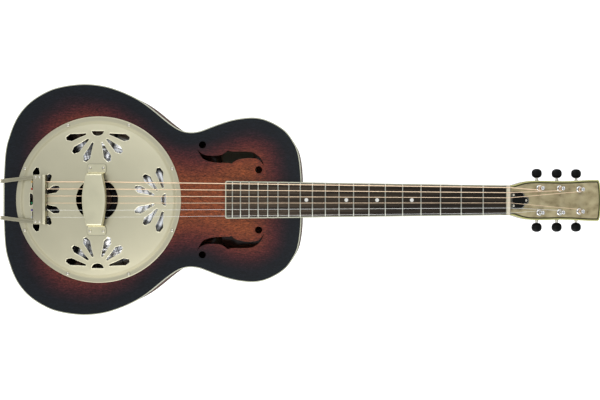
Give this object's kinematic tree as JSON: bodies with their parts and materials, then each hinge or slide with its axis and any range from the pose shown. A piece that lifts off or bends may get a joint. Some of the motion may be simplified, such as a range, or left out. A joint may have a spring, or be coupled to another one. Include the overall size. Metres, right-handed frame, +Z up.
{
  "type": "resonator guitar",
  "caption": "Round-neck resonator guitar: wooden body, domed metal cover plate over a spun cone, hand rest, trapeze tailpiece, bound fretboard and slanted headstock with geared tuners.",
  "frame": {"origin": "on the flat outside of the back, straight below the middle of the cone and the saddle", "axes": "+X along the neck to the headstock, +Y to the bass side, +Z up out of the top"},
  "size_m": [0.9539, 0.3636, 0.115],
  "materials": {
    "sunburst_lacquer": "sunburst lacquer, gloss",
    "mahogany": "satin lacquer",
    "spruce": "raw",
    "plywood": "raw",
    "cream_binding": "gloss",
    "nickel": "brushed nickel",
    "chrome": "polished",
    "spun_aluminium": "spun",
    "maple": "raw",
    "rosewood": "oiled",
    "bone": "polished",
    "pearloid": "pearl",
    "black_plastic": "gloss",
    "steel": "plain",
    "wound_bronze": "wound"
  },
  "bodies": {
    "guitar": {"back_binding": "cream_binding", "back_brace_upper": "spruce", "back_brace_waist": "spruce", "back_lining": "spruce", "biscuit": "maple", "biscuit_screw": "steel", "body_back": "mahogany", "body_sides": "mahogany", "body_top": "sunburst_lacquer", "cover_plate": "nickel", "cover_screw_1": "nickel", "cover_screw_2": "nickel", "cover_screw_3": "nickel", "cover_screw_4": "nickel", "cover_screw_5": "nickel", "cover_screw_6": "nickel", "cover_screw_7": "nickel", "cover_screw_8": "nickel", "fretboard": "rosewood", "fretboard_binding": "cream_binding", "hand_rest": "nickel", "headstock_binding": "cream_binding", "headstock_overlay": "pearloid", "neck": "mahogany", "neck_block": "spruce", "nut": "bone", "resonator_cone": "spun_aluminium", "saddle": "maple", "sound_well": "plywood", "strap_button": "chrome", "string_1": "steel", "string_2": "steel", "string_3": "wound_bronze", "string_4": "wound_bronze", "string_5": "wound_bronze", "string_6": "wound_bronze", "tail_block": "spruce", "tailpiece_bracket": "nickel", "tailpiece_pin": "steel", "top_binding": "cream_binding", "top_brace": "spruce", "top_lining": "spruce", "truss_rod": "steel", "truss_rod_cover": "black_plastic", "tuner_plate_bass": "nickel", "tuner_plate_treble": "nickel"},
    "tailpiece": {"tailpiece": "nickel"},
    "truss_rod_nut": {"truss_rod_nut": "steel"},
    "knob_bass_1": {"tuner_knob_bass_1": "black_plastic"},
    "post_bass_1": {"tuner_post_bass_1": "chrome"},
    "knob_bass_2": {"tuner_knob_bass_2": "black_plastic"},
    "post_bass_2": {"tuner_post_bass_2": "chrome"},
    "knob_bass_3": {"tuner_knob_bass_3": "black_plastic"},
    "post_bass_3": {"tuner_post_bass_3": "chrome"},
    "knob_treble_1": {"tuner_knob_treble_1": "black_plastic"},
    "post_treble_1": {"tuner_post_treble_1": "chrome"},
    "knob_treble_2": {"tuner_knob_treble_2": "black_plastic"},
    "post_treble_2": {"tuner_post_treble_2": "chrome"},
    "knob_treble_3": {"tuner_knob_treble_3": "black_plastic"},
    "post_treble_3": {"tuner_post_treble_3": "chrome"}
  },
  "joints": [
    {"name": "tailpiece_hinge", "type": "hinge", "parent": "guitar", "child": "tailpiece", "pos_m": [-0.157, 0, 0.058], "axis": [0, -1, 0], "range_deg": [0, 1]},
    {"name": "truss_rod_nut_turn", "type": "hinge", "parent": "guitar", "child": "truss_rod_nut", "pos_m": [0.646, 0, 0.079], "axis": [1, 0, 0], "range_deg": [-180, 180]},
    {"name": "knob_bass_1_turn", "type": "hinge", "parent": "guitar", "child": "knob_bass_1", "pos_m": [0.68856, 0.0424, 0.0578], "axis": [0, 1, 0], "continuous": true},
    {"name": "post_bass_1_turn", "type": "hinge", "parent": "guitar", "child": "post_bass_1", "pos_m": [0.68857, 0.0189, 0.07686], "axis": [0.2419, 0, 0.9703], "continuous": true},
    {"name": "knob_bass_2_turn", "type": "hinge", "parent": "guitar", "child": "knob_bass_2", "pos_m": [0.72184, 0.0424, 0.0495], "axis": [0, 1, 0], "continuous": true},
    {"name": "post_bass_2_turn", "type": "hinge", "parent": "guitar", "child": "post_bass_2", "pos_m": [0.72185, 0.0186, 0.06857], "axis": [0.2419, 0, 0.9703], "continuous": true},
    {"name": "knob_bass_3_turn", "type": "hinge", "parent": "guitar", "child": "knob_bass_3", "pos_m": [0.75425, 0.0424, 0.04142], "axis": [0, 1, 0], "continuous": true},
    {"name": "post_bass_3_turn", "type": "hinge", "parent": "guitar", "child": "post_bass_3", "pos_m": [0.75426, 0.0173, 0.06048], "axis": [0.2419, 0, 0.9703], "continuous": true},
    {"name": "knob_treble_1_turn", "type": "hinge", "parent": "guitar", "child": "knob_treble_1", "pos_m": [0.68856, -0.0424, 0.0578], "axis": [0, -1, 0], "continuous": true},
    {"name": "post_treble_1_turn", "type": "hinge", "parent": "guitar", "child": "post_treble_1", "pos_m": [0.68857, -0.0189, 0.07686], "axis": [0.2419, 0, 0.9703], "continuous": true},
    {"name": "knob_treble_2_turn", "type": "hinge", "parent": "guitar", "child": "knob_treble_2", "pos_m": [0.72184, -0.0424, 0.0495], "axis": [0, -1, 0], "continuous": true},
    {"name": "post_treble_2_turn", "type": "hinge", "parent": "guitar", "child": "post_treble_2", "pos_m": [0.72185, -0.0186, 0.06857], "axis": [0.2419, 0, 0.9703], "continuous": true},
    {"name": "knob_treble_3_turn", "type": "hinge", "parent": "guitar", "child": "knob_treble_3", "pos_m": [0.75425, -0.0424, 0.04142], "axis": [0, -1, 0], "continuous": true},
    {"name": "post_treble_3_turn", "type": "hinge", "parent": "guitar", "child": "post_treble_3", "pos_m": [0.75426, -0.0173, 0.06048], "axis": [0.2419, 0, 0.9703], "continuous": true}
  ],
  "couplings": [
    {"joint": "post_bass_1_turn", "follows": "knob_bass_1_turn", "ratio": 0.071429},
    {"joint": "post_bass_2_turn", "follows": "knob_bass_2_turn", "ratio": 0.071429},
    {"joint": "post_bass_3_turn", "follows": "knob_bass_3_turn", "ratio": 0.071429},
    {"joint": "post_treble_1_turn", "follows": "knob_treble_1_turn", "ratio": 0.071429},
    {"joint": "post_treble_2_turn", "follows": "knob_treble_2_turn", "ratio": 0.071429},
    {"joint": "post_treble_3_turn", "follows": "knob_treble_3_turn", "ratio": 0.071429}
  ]
}
